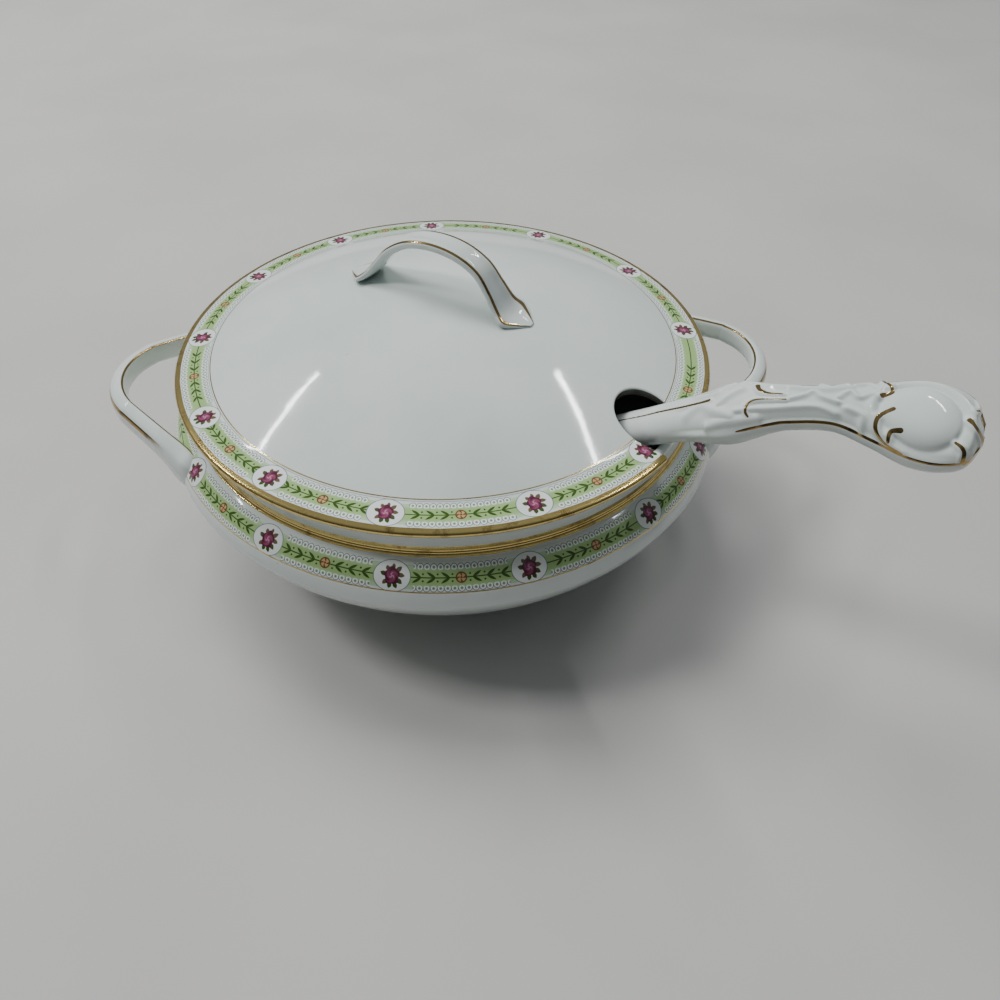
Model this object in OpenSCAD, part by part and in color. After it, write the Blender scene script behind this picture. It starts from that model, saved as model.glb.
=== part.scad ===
// Covered soup tureen of glazed earthenware: a round two-handled bowl, a domed lid with a
// strap grip and a notch in its rim, and a ladle whose handle leans out through the notch.
// Millimetres, +Z up. The origin is the middle of the foot ring's resting face. The handles
// lie on the X axis and the ladle leaves on the -Y side.

/* [Bowl] */
// Height from the table to the lower edge of the lid
rim_height = 96; // [80:1:116]
// Outer radius at the widest part of the belly
belly_radius = 133.2; // [116:0.2:160]
// How far below the lid's lower edge the belly is widest
belly_drop = 31.5; // [28:0.5:38]
// How far the upright collar under the lid stands inside the belly
collar_inset = 13.2; // [10:0.2:18]
// How far below the lid's lower edge the collar meets the shoulder
shoulder_drop = 15; // [12:0.5:18]
// Thickness of the bowl's wall
wall = 4.5; // [3.5:0.1:6]
// Thickness of the bowl's floor
floor_thickness = 5; // [4:0.1:8]

/* [Foot ring] */
// Outer radius of the foot ring where it stands
foot_radius = 80; // [66:0.5:92]
// Height of the foot ring
foot_height = 9; // [6:0.5:12]
// Width of the foot ring
foot_width = 7; // [5:0.5:10]

/* [Side handles] */
// How far each handle stands out from the belly
handle_standoff = 27.8; // [24:0.2:36]
// Radius of the bend at the handle's outer end
handle_bend = 36; // [32:0.5:44]
// Angle on the bowl between a handle's middle and each of its roots
handle_root_angle = 22.5; // [20:0.5:26]
// Thickness of the handle strap, seen from above
strap_thickness = 8; // [6:0.5:10]
// Height of the handle strap
strap_height = 11; // [9:0.5:13]
// How much higher the outer end of the handle is than its roots
handle_rise = 10; // [4:0.5:12]
// Height of the middle of the handle's roots above the widest part of the belly
handle_root_lift = 7; // [4:0.5:9]

/* [Lid] */
// How far the lid's edge stands outside the collar
lid_overhang = 5; // [4:0.5:8]
// Thickness of the lid's rounded edge
lid_edge = 2.8; // [2.2:0.1:4]
// Width of the painted border between the lid's edge and the dome
border_width = 15; // [12:0.5:20]
// Height of the border's inner edge above the lid's lower edge
border_lift = 4; // [3.5:0.1:6]
// Height of the top of the dome above the lid's lower edge
dome_height = 28; // [20:0.5:36]
// Thickness of the dome
lid_wall = 4; // [3:0.1:5]
// Depth of the flange that keeps the lid centred
flange_depth = 8; // [5:0.5:12]
// Thickness of the flange
flange_wall = 4; // [3:0.1:5]
// Gap between the flange and the inside of the collar
flange_gap = 1.5; // [0.8:0.1:2.5]

/* [Ladle notch] */
// Room at each side of the ladle's handle in the notch
notch_clearance = 5.8; // [4.5:0.1:7]
// Length of the notch, from the lid's edge to its round inner end
notch_depth = 33; // [31:0.5:37]
// Direction of the notch, from the +X axis
notch_angle = -39.2; // [-60:0.1:-38]

/* [Lid grip] */
// Distance between the tips of the grip's two feet
grip_span = 96; // [84:1:104]
// Height of the grip above the top of the dome
grip_height = 25.5; // [22:0.5:34]
// Width of the grip strap at its middle
grip_width = 14; // [10:0.5:16]
// Thickness of the grip strap
grip_thickness = 5; // [3:0.5:8]
// Width of the grip's spread feet
grip_foot_width = 22; // [16:0.5:28]
// Length of each foot along the dome
grip_foot_length = 14; // [12:0.5:18]
// Direction of the grip, from the +X axis
grip_angle = -33.7; // [-40:0.1:-28]
// How far the grip sits from the middle of the lid, away from the notch
grip_shift = 3.6; // [0:0.1:5]
// How far the grip sits from the line through the middle of the lid, towards the back
grip_aside = 1; // [0:0.1:2]

/* [Ladle] */
// Radius of the ladle's bowl
ladle_radius = 43; // [36:0.5:48]
// Depth of the ladle's bowl outside
ladle_depth = 40; // [34:0.5:42]
// Thickness of the ladle's bowl
ladle_wall = 3.5; // [3:0.1:4.5]
// Half the width of the ladle's handle where it passes the notch
shaft_half_width = 8.7; // [8:0.1:10]
// Half the height of the ladle's handle where it passes the notch
shaft_half_height = 6.9; // [6:0.1:7.5]
// How far the ladle's handle reaches beyond the collar, along the shaft's line
ladle_overhang = 113; // [100:1:130]
// How far the handle's end curves down below the shaft's line
ladle_droop = 30.8; // [24:0.2:36]
// Half the width of the scrolled end of the ladle's handle
knob_half_width = 18; // [14:0.5:20]
// Half the height of the scrolled end
knob_half_height = 9; // [7:0.5:12]
// How far the ladle has rolled towards the front as it lies in the notch
ladle_roll = 20; // [0:1:24]
// How far the ladle's direction is turned from the notch's, towards the front
ladle_turn = 1; // [0:0.1:1.5]

/* [Fits] */
// Gap between the lid and the collar it sits on, and under the ladle
rest_gap = 0.3; // [0.2:0.05:0.6]
// Height the collar's top stands below the lid's lower edge
seat_drop = 1.5; // [1:0.1:3]

/* [Hidden] */
$fn = 96;

GLAZE = "#dfe3e0";
GLAZE_SHADE = "#d3d8d6";

// --- shared measures -------------------------------------------------------------------------
belly_height = rim_height - belly_drop;
collar_foot_height = rim_height - shoulder_drop;
collar_top = rim_height - seat_drop;
seat_height = collar_top + rest_gap;
collar_radius = belly_radius - collar_inset;
collar_inner = collar_radius - wall;
lid_radius = collar_radius + lid_overhang;
border_radius = lid_radius - border_width;
flange_outer = collar_inner - flange_gap;
flange_inner = flange_outer - flange_wall;
dome_drop = border_radius * border_radius / (dome_height - border_lift);
notch_width = 2 * (shaft_half_width + notch_clearance);
notch_centre = lid_radius - notch_depth + notch_width / 2;

// The shoulder's quarter curve starts this far inside the collar's radius
shoulder_lead = 6.8;
shoulder_inset = collar_inset + shoulder_lead;
// The inside of the shoulder meets the collar this much of the wall lower than the outside
inner_step = 0.6;
// Roundness of the shoulder and of the underside: 2 is an ellipse, 1 is straight
belly_power = 2.2;
underside_power = 1.3;
curve_steps = 12;

// --- curves ----------------------------------------------------------------------------------
// A quarter of a superellipse from the side (angle 0) to the top or bottom (angle 90)
function bulge(centre, radius, base, height, power, from, to, steps) =
    [for (i = [0:steps]) let (a = from + (to - from) * i / steps)
        [centre + radius * pow(cos(a), 2 / power), base + height * pow(sin(a), 2 / power)]];

// Angle at which the shoulder curve reaches the collar's radius
function shoulder_end(centre, radius, edge) = acos(pow((edge - centre) / radius, belly_power / 2));

// Full height of a shoulder curve that reaches a height at the angle where it meets the collar
function shoulder_rise(top, height) = height / pow(sin(top), 2 / belly_power);

// Radius of the shoulder's outside at a height
function shoulder_radius(z) =
    let (centre = belly_radius - shoulder_inset,
         top = shoulder_end(centre, shoulder_inset, collar_radius),
         share = (z - belly_height) / shoulder_rise(top, collar_foot_height - belly_height))
    centre + shoulder_inset * pow(1 - pow(share, belly_power), 1 / belly_power);

// One side of the bowl's section from the floor's corner up to the top of the collar
function bowl_side(inset, low, foot) =
    let (centre = belly_radius - shoulder_inset,
         reach = shoulder_inset - inset,
         edge = collar_radius - inset,
         top = shoulder_end(centre, reach, edge),
         rise = shoulder_rise(top, collar_foot_height - belly_height - inset * inner_step))
    concat(
        [for (i = [curve_steps:-1:1]) let (a = 90 * i / curve_steps)
            [foot + (belly_radius - inset - foot) * pow(cos(a), 2 / underside_power),
             belly_height - (belly_height - low) * pow(sin(a), 2 / underside_power)]],
        bulge(centre, reach, belly_height, rise, belly_power, 0, top, curve_steps));

outer_side = bowl_side(0, foot_height, foot_radius + 2);
inner_side = bowl_side(wall, foot_height + floor_thickness, foot_radius - wall);

// The bowl's outside as a solid, for whatever is luted onto it
module bowl_form() {
    rotate_extrude()
        polygon(concat([[0, foot_height]], outer_side, [[collar_radius, collar_top], [0, collar_top]]));
}

// Height of the dome's outside at a distance from the middle
function dome_at(r) = rim_height + dome_height - r * r / dome_drop;

// The lid's outside as a solid, for the grip that stands on it
module dome_form() {
    rotate_extrude()
        polygon(concat([[0, rim_height]],
                       [[lid_radius - lid_edge / 2, rim_height], [lid_radius - lid_edge / 2, rim_height + lid_edge]],
                       [for (i = [curve_steps:-1:0]) let (r = border_radius * i / curve_steps) [r, dome_at(r)]]));
}

// The notch seen from above, wider by a margin on every side
module notch_plan(margin) {
    rotate(notch_angle) {
        translate([notch_centre, 0]) circle(r = notch_width / 2 + margin);
        translate([notch_centre, -notch_width / 2 - margin])
            square([lid_radius, notch_width + 2 * margin]);
    }
}

// --- swept straps ----------------------------------------------------------------------------
ring_sides = 20;

// Catmull-Rom blend of four equal-length lists at t between the middle two
function blend(a, b, c, d, t) =
    0.5 * (2 * b + (c - a) * t + (2 * a - 5 * b + 4 * c - d) * t * t + (3 * b - 3 * c + d - a) * t * t * t);

// A list of stations made smooth, with steps new ones between each pair
function smooth(stations, steps) =
    let (n = len(stations), last = n - 1)
    concat([for (i = [0:last - 1], k = [0:steps - 1])
        blend(stations[max(i - 1, 0)], stations[i], stations[i + 1], stations[min(i + 2, last)], k / steps)],
        [stations[last]]);

function unit(v) = v / norm(v);
function along(path, i) = unit(path[min(i + 1, len(path) - 1)] - path[max(i - 1, 0)]);

// A rounded section: x across, y up; the half above and the half below have their own heights
function section(half_width, up, down, power) =
    [for (k = [0:ring_sides - 1]) let (a = 360 * k / ring_sides, c = cos(a), s = sin(a))
        [half_width * sign(c) * pow(abs(c), 2 / power),
         (s > 0 ? up : down) * sign(s) * pow(abs(s), 2 / power)]];

// A closed skin over rings of equal length, flat at both ends
module skin(rings) {
    n = len(rings[0]);
    m = len(rings);
    polyhedron(
        points = [for (ring = rings, p = ring) p],
        faces = concat(
            [[for (k = [0:n - 1]) k]],
            [for (i = [0:m - 2], k = [0:n - 1]) let (k2 = (k + 1) % n)
                [i * n + k, (i + 1) * n + k, (i + 1) * n + k2, i * n + k2]],
            [[for (k = [n - 1:-1:0]) (m - 1) * n + k]]),
        convexity = 8);
}

// --- tureen ----------------------------------------------------------------------------------
module tureen_bowl() {
    lip = wall / 4;
    color(GLAZE)
        rotate_extrude()
            polygon(concat(
                [[0, foot_height]],
                outer_side,
                [[collar_radius, collar_top - lip], [collar_radius - lip, collar_top],
                 [collar_inner + lip, collar_top], [collar_inner, collar_top - lip]],
                [for (i = [len(inner_side) - 1:-1:0]) inner_side[i]],
                [[0, foot_height + floor_thickness]]));
}

module foot_ring() {
    round_over = foot_width / 5;
    color(GLAZE_SHADE)
        rotate_extrude()
            polygon([[foot_radius - foot_width, round_over],
                     [foot_radius - foot_width + round_over, 0],
                     [foot_radius - round_over, 0],
                     [foot_radius, round_over],
                     [foot_radius + 1.5, foot_height],
                     [foot_radius - foot_width - 1, foot_height]]);
}

// One half of a handle, from the leaf that lies on the shoulder to the middle of the bend.
// Stations: [x, y, height of the strap's middle, half thickness, half height]
handle_centre = belly_radius + handle_standoff - strap_thickness / 2 - handle_bend;
handle_root_height = belly_height + handle_root_lift;
handle_root_radius = shoulder_radius(handle_root_height);
bend_steps = 6;

function at_angle(radius, angle) = [radius * cos(angle), radius * sin(angle)];

function handle_half() =
    let (root = at_angle(handle_root_radius - 1.2, handle_root_angle),
         to_root = root - [handle_centre, 0],
         limb_angle = atan2(to_root[1], to_root[0]) - acos(handle_bend / norm(to_root)),
         touch = [handle_centre, 0] + at_angle(handle_bend, limb_angle),
         thick = strap_thickness / 2,
         tall = strap_height / 2,
         low = handle_root_height,
         high = handle_root_height + handle_rise)
    concat(
        [concat(at_angle(handle_root_radius - 6.7, handle_root_angle + 5.5), [low - 1, thick * 0.5, tall * 0.4]),
         concat(at_angle(handle_root_radius - 3.7, handle_root_angle + 3), [low - 0.5, thick * 1.1, tall * 1.3]),
         concat(root, [low, thick * 1.3, tall * 1.45]),
         concat(root * 0.65 + touch * 0.35, [low * 0.65 + high * 0.35 + 1, thick * 1.1, tall * 1.1])],
        [for (i = [0:bend_steps]) let (a = limb_angle * (1 - i / bend_steps))
            concat([handle_centre, 0] + at_angle(handle_bend, a),
                   [high - handle_rise * 0.12 * pow(1 - i / bend_steps, 2), thick, tall])]);

// A strap handle standing out along +X. The top slopes down towards the outside.
module side_handle() {
    half = handle_half();
    count = len(half);
    whole = concat(half, [for (i = [count - 2:-1:0])
        [half[i][0], -half[i][1], half[i][2], half[i][3], half[i][4]]]);
    course = smooth(whole, 2);
    plan = [for (s = course) [s[0], s[1]]];
    top_slope = 0.35;
    skin([for (i = [0:len(course) - 1])
        let (s = course[i], dir = along(plan, i), outward = [-dir[1], dir[0]])
        [for (q = section(s[3], s[4], s[4], 2.8))
            [s[0] + q[0] * outward[0], s[1] + q[0] * outward[1], s[2] + q[1] - top_slope * q[0]]]]);
}

module right_handle() {
    color(GLAZE) difference() { side_handle(); bowl_form(); }
}

module left_handle() {
    color(GLAZE) difference() { mirror([1, 0, 0]) side_handle(); bowl_form(); }
}

// --- lid -------------------------------------------------------------------------------------
module lid_cover() {
    roll = lid_edge / 2;
    edge_centre = [lid_radius - roll, rim_height + roll];
    under = [for (i = [0:curve_steps]) let (r = flange_inner * i / curve_steps)
        [r, max(dome_at(r) - lid_wall, seat_height)]];
    color(GLAZE)
        difference() {
            rotate_extrude()
                polygon(concat(
                    under,
                    [[flange_outer, seat_height], [collar_radius + 0.6, seat_height],
                     [collar_radius + 1.6, rim_height]],
                    [for (a = [-90:22.5:90]) edge_centre + roll * [cos(a), sin(a)]],
                    [for (i = [curve_steps:-1:0]) let (r = border_radius * i / curve_steps) [r, dome_at(r)]]));
            translate([0, 0, seat_height - 20])
                linear_extrude(dome_height + 40) notch_plan(0);
        }
}

module lid_flange() {
    color(GLAZE_SHADE)
        difference() {
            rotate_extrude()
                polygon([[flange_inner, seat_height - flange_depth + 1],
                         [flange_inner + 1, seat_height - flange_depth],
                         [flange_outer - 1, seat_height - flange_depth],
                         [flange_outer, seat_height - flange_depth + 1],
                         [flange_outer, seat_height],
                         [flange_inner, seat_height]]);
            translate([0, 0, seat_height - flange_depth - 5])
                linear_extrude(flange_depth + 10) notch_plan(4);
        }
}

// One half of the grip, from its crown to the pointed tip of a foot. The strap comes down
// almost upright and its foot then lies along the dome. The half away from the notch slumps a
// little, by a share of the crown's height.
// Stations: [distance along, height above the dome's top, half width, half thickness]
grip_slump = 0.08;

function grip_half(slump) =
    let (half_span = grip_span / 2,
         crown = grip_height - grip_thickness / 2,
         half = grip_width / 2,
         foot = grip_foot_width / 2,
         thick = grip_thickness / 2,
         knee = half_span - grip_foot_length,
         instep = knee + grip_foot_length * 0.32,
         toe = knee + grip_foot_length * 0.68,
         lie = function (t) dome_at(t) - dome_at(0))
    [[0, crown, half, thick],
     [knee * 0.36, crown * (0.94 - slump * 0.4), half, thick],
     [knee * 0.66, crown * (0.73 - slump), half, thick],
     [knee * 0.85, crown * (0.4 - slump * 0.6), half * 1.12, thick * 0.9],
     [knee, lie(knee) + thick * 1.8, half * 1.33, thick * 0.85],
     [instep, lie(instep) + thick * 0.75, foot, thick * 0.75],
     [toe, lie(toe) + thick * 0.4, foot * 0.62, thick * 0.6],
     [half_span, lie(half_span) + thick * 0.25, foot * 0.16, thick * 0.4]];

module lid_grip() {
    far = grip_half(grip_slump);
    whole = concat([for (i = [len(far) - 1:-1:1]) [-far[i][0], far[i][1], far[i][2], far[i][3]]],
                   grip_half(0));
    course = smooth(whole, 3);
    path = [for (s = course) [s[0], s[1]]];
    color(GLAZE)
        difference() {
            rotate([0, 0, grip_angle])
                translate([-grip_shift, grip_aside, rim_height + dome_height])
                    skin([for (i = [0:len(course) - 1])
                        let (s = course[i], d = along(path, i), up = [-d[1], d[0]])
                        [for (q = section(s[2], s[3], s[3], 2.6))
                            [s[0] + up[0] * q[1], q[0], s[1] + up[1] * q[1]]]]);
            dome_form();
        }
}

// --- ladle -----------------------------------------------------------------------------------
// The ladle lies with its bowl on the floor and its handle on the collar's inner edge, rolled
// a little about the line of its shaft.
// Half the handle's height, measured upright, once it has rolled
rolled_half_height = norm([shaft_half_height * cos(ladle_roll), shaft_half_width * sin(ladle_roll)]);
rest_point = [collar_inner + 0.2, seat_height];
foot_drop = 5;

// Slope of the shaft when the ladle's rim is at a height
function shaft_slope(rim) =
    let (run = rest_point - [ladle_radius, rim - foot_drop])
    atan2(run[1], run[0]) + asin(rolled_half_height / norm(run));

// Height of the ladle's rim at which its bowl, rolled about a shaft line of this slope, just
// clears the floor. The bowl is half an ellipsoid: turned, it is as deep as the length of its
// half axes' upright parts, and its middle swings down about the line.
floor_rest = foot_height + floor_thickness + rest_gap;
function rim_over_floor(slope) =
    let (turn = 1 - cos(ladle_roll),
         depth = norm([ladle_radius * cos(slope) * sin(slope) * turn,
                       ladle_radius * cos(slope) * sin(ladle_roll),
                       ladle_depth * (1 - cos(slope) * cos(slope) * turn)]),
         swing = ladle_radius * sin(slope) + foot_drop * cos(slope))
    floor_rest + depth + swing * turn * cos(slope);

// The slope and the height depend on each other, so they are brought together in two steps
first_rim = rim_over_floor(shaft_slope(floor_rest + ladle_depth));
ladle_rim = rim_over_floor(shaft_slope(first_rim));

shaft_angle = shaft_slope(ladle_rim);
handle_foot = [ladle_radius, ladle_rim - foot_drop];
to_rest = rest_point - handle_foot;
shaft_length = sqrt(norm(to_rest) * norm(to_rest) - rolled_half_height * rolled_half_height);
shaft_rest = handle_foot + shaft_length * [cos(shaft_angle), sin(shaft_angle)];

// Puts what is drawn along the shaft's line, with its rest at the origin, where the ladle lies
module ladle_place() {
    rotate([0, 0, notch_angle - ladle_turn])
        translate([shaft_rest[0], 0, shaft_rest[1]])
            rotate([0, -shaft_angle, 0])
                rotate([ladle_roll, 0, 0])
                    children();
}

function ladle_curve(radius, depth) =
    [for (i = [0:curve_steps]) let (a = 90 * i / curve_steps)
        [radius * sin(a), ladle_rim - depth * cos(a)]];

// The ladle's bowl is drawn upright and then turned into the shaft's frame
module bowl_in_shaft_frame() {
    rotate([0, shaft_angle, 0])
        translate([-shaft_rest[0], 0, -shaft_rest[1]])
            children();
}

// The ladle bowl's outside, carried upwards, so that the handle starts at its wall
module ladle_form() {
    bowl_in_shaft_frame()
        rotate_extrude()
            polygon(concat(ladle_curve(ladle_radius, ladle_depth),
                           [[ladle_radius, ladle_rim + 20], [0, ladle_rim + 20]]));
}

module ladle_bowl() {
    inner = ladle_curve(ladle_radius - ladle_wall, ladle_depth - ladle_wall);
    color(GLAZE)
        ladle_place()
            bowl_in_shaft_frame()
                rotate_extrude()
                    polygon(concat(ladle_curve(ladle_radius, ladle_depth),
                                   [[ladle_radius - ladle_wall / 2, ladle_rim + ladle_wall / 4]],
                                   [for (i = [curve_steps:-1:0]) inner[i]]));
}

// The handle's own shape, from inside the ladle's bowl to the tip of its scrolled end.
// Stations: [distance along the shaft's line from the rest, offset from that line,
// half width, height above, height below]
module ladle_handle() {
    w = shaft_half_width;
    h = shaft_half_height;
    kw = knob_half_width;
    kh = knob_half_height;
    out = ladle_overhang;
    inside = shaft_length;
    stations = [
        [-inside - 6, 0, w * 0.95, h * 0.67, h * 0.67],
        [-inside + 1, 0, w, h * 0.67, h * 0.67],
        [-inside + 18, 0, w * 0.82, h * 0.7, h * 0.7],
        [-inside * 0.4, 0, w * 0.9, h * 0.84, h * 0.84],
        [0, 0, w, h, h],
        [out * 0.124, ladle_droop * 0.006, w * 1.1, h * 1.1, h * 0.98],
        [out * 0.23, ladle_droop * 0.006, w * 1.36, h * 1.32, h * 1.15],
        [out * 0.332, -ladle_droop * 0.013, w * 1.52, h * 1.6, h * 1.38],
        [out * 0.465, -ladle_droop * 0.062, w * 1.15, h * 1.28, h * 0.95],
        [out * 0.535, -ladle_droop * 0.094, w * 1.06, h * 1.17, h * 0.92],
        [out * 0.655, -ladle_droop * 0.214, w * 1.08, h * 1.1, h * 0.98],
        [out * 0.752, -ladle_droop * 0.435, kw * 0.76, kh * 1.04, kh * 0.64],
        [out * 0.841, -ladle_droop * 0.662, kw * 0.98, kh * 1.25, kh * 0.78],
        [out * 0.912, -ladle_droop * 0.831, kw * 0.96, kh * 1.18, kh * 0.8],
        [out * 0.969, -ladle_droop * 0.948, kw * 0.74, kh * 0.9, kh * 0.76],
        [out, -ladle_droop, kw * 0.24, kh * 0.32, kh * 0.36]];
    course = smooth(stations, 3);
    path = [for (s = course) [s[0], s[1]]];
    color(GLAZE)
        ladle_place()
            difference() {
                skin([for (i = [0:len(course) - 1])
                    let (s = course[i], d = along(path, i), up = [-d[1], d[0]])
                    [for (q = section(s[2], s[3], s[4], 2.2))
                        [s[0] + up[0] * q[1], q[0], s[1] + up[1] * q[1]]]]);
                ladle_form();
            }
}

tureen_bowl();
foot_ring();
left_handle();
right_handle();
lid_cover();
lid_flange();
lid_grip();
ladle_bowl();
ladle_handle();
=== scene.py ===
"""Covered soup tureen with its ladle, in glazed white earthenware with gilding and a printed border.

Every piece is a closed skin worked out as whole arrays: a profile carried round the upright
axis, or rounded sections carried along a course. Lengths are in millimetres until a mesh is
made. The sizes come from the frame's own boxes and from the named values below.
"""
import bpy
import numpy as np
from mathutils import Matrix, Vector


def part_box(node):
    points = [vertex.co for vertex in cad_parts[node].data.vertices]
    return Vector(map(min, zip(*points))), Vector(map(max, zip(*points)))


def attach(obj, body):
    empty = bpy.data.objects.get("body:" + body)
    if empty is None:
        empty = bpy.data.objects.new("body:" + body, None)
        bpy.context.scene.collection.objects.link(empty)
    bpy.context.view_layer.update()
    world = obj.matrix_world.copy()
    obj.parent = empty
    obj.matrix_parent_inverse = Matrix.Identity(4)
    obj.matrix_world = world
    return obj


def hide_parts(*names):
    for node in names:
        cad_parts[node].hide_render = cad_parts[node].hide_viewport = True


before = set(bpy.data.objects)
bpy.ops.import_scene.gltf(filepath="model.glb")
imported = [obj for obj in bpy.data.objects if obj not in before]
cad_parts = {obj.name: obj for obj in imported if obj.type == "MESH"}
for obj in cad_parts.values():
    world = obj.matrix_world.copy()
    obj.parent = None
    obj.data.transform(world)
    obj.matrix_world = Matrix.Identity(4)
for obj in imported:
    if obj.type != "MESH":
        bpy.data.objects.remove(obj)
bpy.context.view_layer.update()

MM = 0.001


# --- Sizes -----------------------------------------------------------------------------------

def box_mm(node):
    """The lowest and highest corners of a CAD node, in millimetres."""
    low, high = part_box(node)
    return np.array(low) / MM, np.array(high) / MM


bowl_low, bowl_high = box_mm("tureen_bowl")
foot_high = box_mm("foot_ring")[1]
lid_low, lid_high = box_mm("lid_cover")
flange_low = box_mm("lid_flange")[0]
handle_high = box_mm("right_handle")[1]

belly_radius = bowl_high[0]
collar_top = bowl_high[2]
foot_height = bowl_low[2]
lid_radius = -lid_low[0]
lid_top = lid_high[2]
seat_height = lid_low[2]
flange_outer = -flange_low[0]
flange_foot = flange_low[2]
handle_reach = handle_high[0]

# Bowl
rim_height = collar_top + 1.5
belly_height = rim_height - 31.5
collar_foot = rim_height - 15
collar_radius = belly_radius - 13.2
wall = 4.5
floor_thickness = 5
foot_radius = foot_high[0] - 1.5
foot_width = 7
shoulder_lead = 6.8
belly_power = 2.2
underside_power = 1.3

# Lid
lid_edge = 2.8
lid_wall = 4
border_width = 15
border_lift = 4
flange_wall = 4
dome_height = lid_top - rim_height
border_radius = lid_radius - border_width
collar_inner = collar_radius - wall

# Notch
notch_angle = np.radians(-39.2)
notch_half = 14.5
notch_depth = 33
notch_centre = lid_radius - notch_depth + notch_half

# Side handles
handle_bend = 36
handle_root_angle = 22.5
handle_root_lift = 7
handle_rise = 10
strap_thickness = 8
strap_height = 11

# Grip
grip_span = 96
grip_height = 25.5
grip_width = 14
grip_thickness = 5
grip_foot_width = 22
grip_foot_length = 14
grip_angle = np.radians(-33.7)
grip_shift = 3.6
grip_aside = 1
grip_slump = 0.08

# Ladle
ladle_radius = 43
ladle_depth = 40
ladle_wall = 3.5
shaft_half_width = 8.7
shaft_half_height = 6.9
ladle_overhang = 112.6
ladle_droop = 30.8
knob_half_width = 18
knob_half_height = 9
ladle_roll = np.radians(20)
ladle_turn = np.radians(1)
rest_gap = 0.3
foot_drop = 5

# Printed border: azimuths of the rose medallions in degrees, laid by hand and so a little uneven
LID_MEDALLIONS = [29.5, 60.5, 92, 119, 146.5, 176, 206.5, 231.5, 256.5, 284.5, 312, 359.5]
BOWL_MEDALLIONS = [28.5, 56, 84, 112, 140, 168, 208.5, 233.5, 258, 282, 308.5, 331.5]
PRINT_WIDTH = 11.2


# --- Mesh making -----------------------------------------------------------------------------

def turn(points, angle):
    """Turns points about the upright axis: x and y by the cosine and sine of the angle."""
    c, s = np.cos(angle), np.sin(angle)
    turned = points.copy()
    turned[..., 0] = points[..., 0] * c - points[..., 1] * s
    turned[..., 1] = points[..., 0] * s + points[..., 1] * c
    return turned


def signed_volume(points, faces):
    """Six times the volume inside quads, as the sum of triple products; negative if inside out."""
    a, b, c, d = (points[faces[:, k]] for k in range(4))
    return np.sum(a * np.cross(b, c)) + np.sum(a * np.cross(c, d))


def add_map(mesh, name, u, v):
    """A UV map that holds two values for each face corner."""
    layer = mesh.uv_layers.new(name=name)
    layer.data.foreach_set("uv", np.stack([u, v], -1).astype(np.float32).ravel())


def stored(items, attribute, kind, width=1):
    """One attribute of all of a mesh's items, as an array."""
    values = np.zeros(len(items) * width, kind)
    items.foreach_get(attribute, values)
    return values


def skin(name, grid, material, layers=(), loop=False):
    """A closed piece over a grid of points: rows along, columns around, the last column the first.

    The end rows either meet (loop) or each shrink to one point. Layers are (name, u, v) with
    one value for each grid point; a layer's values are kept on the face corners, so that a
    map may differ on the two sides of the seam.
    """
    rows, columns = grid.shape[:2]
    ids = np.arange(rows * columns).reshape(rows, columns)
    points = grid.reshape(-1, 3)
    welded = ids.copy()
    welded[:, -1] = welded[:, 0]
    if loop:
        welded[-1] = welded[0]
    else:
        welded[0] = welded[0, 0]
        welded[-1] = welded[-1, 0]
    corners = np.stack([ids[:-1, :-1], ids[:-1, 1:], ids[1:, 1:], ids[1:, :-1]], -1).reshape(-1, 4)
    faces = welded.reshape(-1)[corners]
    if signed_volume(points, faces) < 0:
        corners, faces = corners[:, ::-1], faces[:, ::-1]
    keep = faces != np.roll(faces, 1, axis=1)
    used, order = np.unique(faces[keep], return_inverse=True)
    counts = keep.sum(axis=1)
    mesh = bpy.data.meshes.new(name)
    mesh.vertices.add(len(used))
    mesh.vertices.foreach_set("co", (points[used] * MM).astype(np.float32).ravel())
    mesh.loops.add(len(order))
    mesh.loops.foreach_set("vertex_index", order.astype(np.int32).ravel())
    mesh.polygons.add(len(counts))
    starts = np.concatenate([[0], np.cumsum(counts)[:-1]])
    mesh.polygons.foreach_set("loop_start", starts.astype(np.int32))
    mesh.polygons.foreach_set("loop_total", counts.astype(np.int32))
    mesh.update()
    mesh.validate()
    mesh.shade_smooth()
    corner_ids = corners[keep]
    for layer_name, u, v in layers:
        add_map(mesh, layer_name, u.reshape(-1)[corner_ids], v.reshape(-1)[corner_ids])
    piece = bpy.data.objects.new(name, mesh)
    bpy.context.scene.collection.objects.link(piece)
    mesh.materials.append(material)
    return piece


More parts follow.
